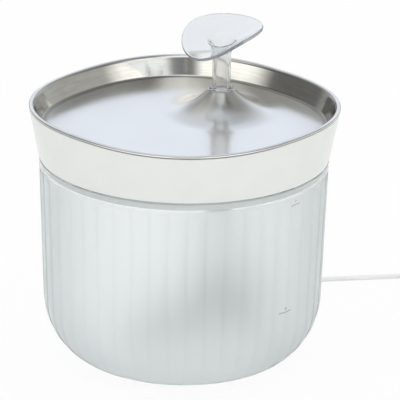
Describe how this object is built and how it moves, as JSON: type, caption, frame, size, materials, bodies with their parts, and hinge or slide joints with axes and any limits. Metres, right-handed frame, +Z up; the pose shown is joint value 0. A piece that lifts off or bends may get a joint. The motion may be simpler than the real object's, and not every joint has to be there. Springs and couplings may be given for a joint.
{
  "type": "pet water fountain",
  "caption": "Pet drinking fountain: frosted fluted tank with pump and filter box, white collar, steel drinking tray with a cone, and a clear leaf spout.",
  "frame": {"origin": "centre of the tank's rest face, on the surface that the fountain stands on", "axes": "+Z up, the drain slots of the tray at the front, -Y, the spout behind the centre and the cord's exit at the back, +Y"},
  "size_m": [0.1984, 0.3237, 0.2153],
  "materials": {
    "frosted_tank": "frosted translucent plastic, fluted",
    "white_gloss": "smooth off-white plastic",
    "steel_tray": "deep-drawn stainless steel, satin",
    "clear_silicone": "clear silicone",
    "clear_acrylic": "clear plastic",
    "pale_pipe": "pale plastic",
    "pump_plastic": "grey moulded plastic",
    "core_steel": "laminated steel",
    "copper_wire": "enamelled copper wire",
    "black_rubber": "black rubber",
    "slide_plastic": "blue-grey moulded plastic",
    "impeller_plastic": "natural plastic",
    "magnet": "sintered ferrite",
    "shaft_steel": "ground stainless steel",
    "filter_plastic": "pale moulded plastic",
    "grey_foam": "open-cell foam",
    "carbon": "granular activated carbon",
    "cord_white": "white PVC jacket",
    "plug_white": "white moulded plastic",
    "plug_steel": "plated steel shell"
  },
  "bodies": {
    "tank": {"water_tank": "frosted_tank", "riser_tube": "pale_pipe", "motor_housing": "pump_plastic", "stator_core": "core_steel", "stator_winding": "copper_wire", "volute": "pump_plastic", "volute_seal": "black_rubber", "intake_cover": "pump_plastic", "rotor_shaft": "shaft_steel", "front_bush": "black_rubber", "rear_bush": "black_rubber", "suction_cups": "clear_silicone", "filter_box": "filter_plastic", "foam_block": "grey_foam", "carbon_frame": "filter_plastic", "carbon_fill": "carbon", "cord_gland": "cord_white", "cord_tube": "cord_white", "cord_coil": "cord_white", "plug_body": "plug_white", "plug_shell": "plug_steel"},
    "collar": {"collar": "white_gloss"},
    "tray": {"drinking_tray": "steel_tray"},
    "seal": {"spout_seal": "clear_silicone"},
    "spout": {"leaf_spout": "clear_acrylic"},
    "rotor": {"impeller": "impeller_plastic", "rotor_magnet": "magnet"},
    "regulator": {"flow_slide": "slide_plastic"},
    "lid": {"filter_lid": "filter_plastic"}
  },
  "joints": [
    {"name": "collar_lift", "type": "slide", "parent": "tank", "child": "collar", "axis": [0, 0, 1], "range_m": [0, 0.05]},
    {"name": "tray_lift", "type": "slide", "parent": "collar", "child": "tray", "axis": [0, 0, 1], "range_m": [0, 0.06]},
    {"name": "spout_turn", "type": "hinge", "parent": "tray", "child": "seal", "pos_m": [0, 0.034, 0.171], "axis": [0, 0, 1], "continuous": true},
    {"name": "spout_pull", "type": "slide", "parent": "seal", "child": "spout", "axis": [0, 0, 1], "range_m": [0, 0.03]},
    {"name": "impeller_spin", "type": "hinge", "parent": "tank", "child": "rotor", "pos_m": [0, 0.034, 0.0215], "axis": [0, 1, 0], "continuous": true},
    {"name": "flow_regulator", "type": "slide", "parent": "tank", "child": "regulator", "axis": [1, 0, 0], "range_m": [0, 0.0028]},
    {"name": "filter_lid_lift", "type": "slide", "parent": "tank", "child": "lid", "axis": [0, 0, 1], "range_m": [0, 0.04]}
  ]
}
